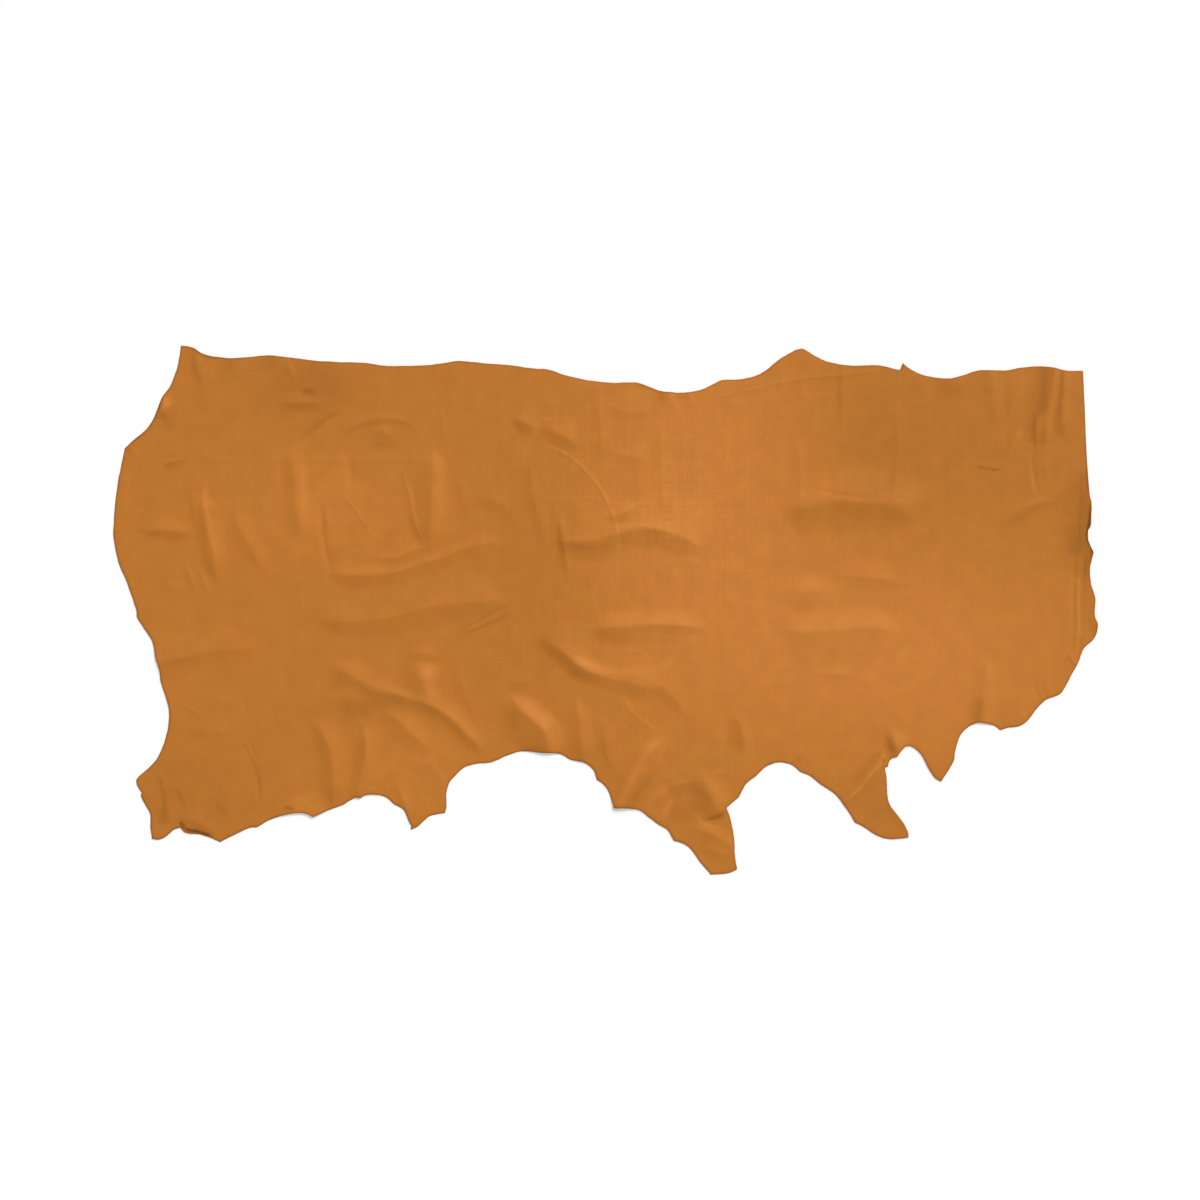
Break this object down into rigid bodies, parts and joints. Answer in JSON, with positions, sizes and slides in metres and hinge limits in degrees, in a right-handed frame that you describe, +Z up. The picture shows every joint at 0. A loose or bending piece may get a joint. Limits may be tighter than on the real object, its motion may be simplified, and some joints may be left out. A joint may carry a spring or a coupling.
{
  "type": "leather side",
  "caption": "Side of tanned leather laid flat grain side up, with a straight backbone edge, ragged belly edge, shank and neck flaps, and low folds.",
  "frame": {"origin": "on the surface the side lies on, below the middle of its bounding box", "axes": "+X from the butt to the neck, +Y from the belly to the backbone, +Z up out of the grain side"},
  "size_m": [2.214, 1.19, 0.0115],
  "materials": {
    "leather": "smooth grain, tan, low sheen"
  },
  "bodies": {
    "root": {"leather_side": "leather"}
  },
  "joints": []
}
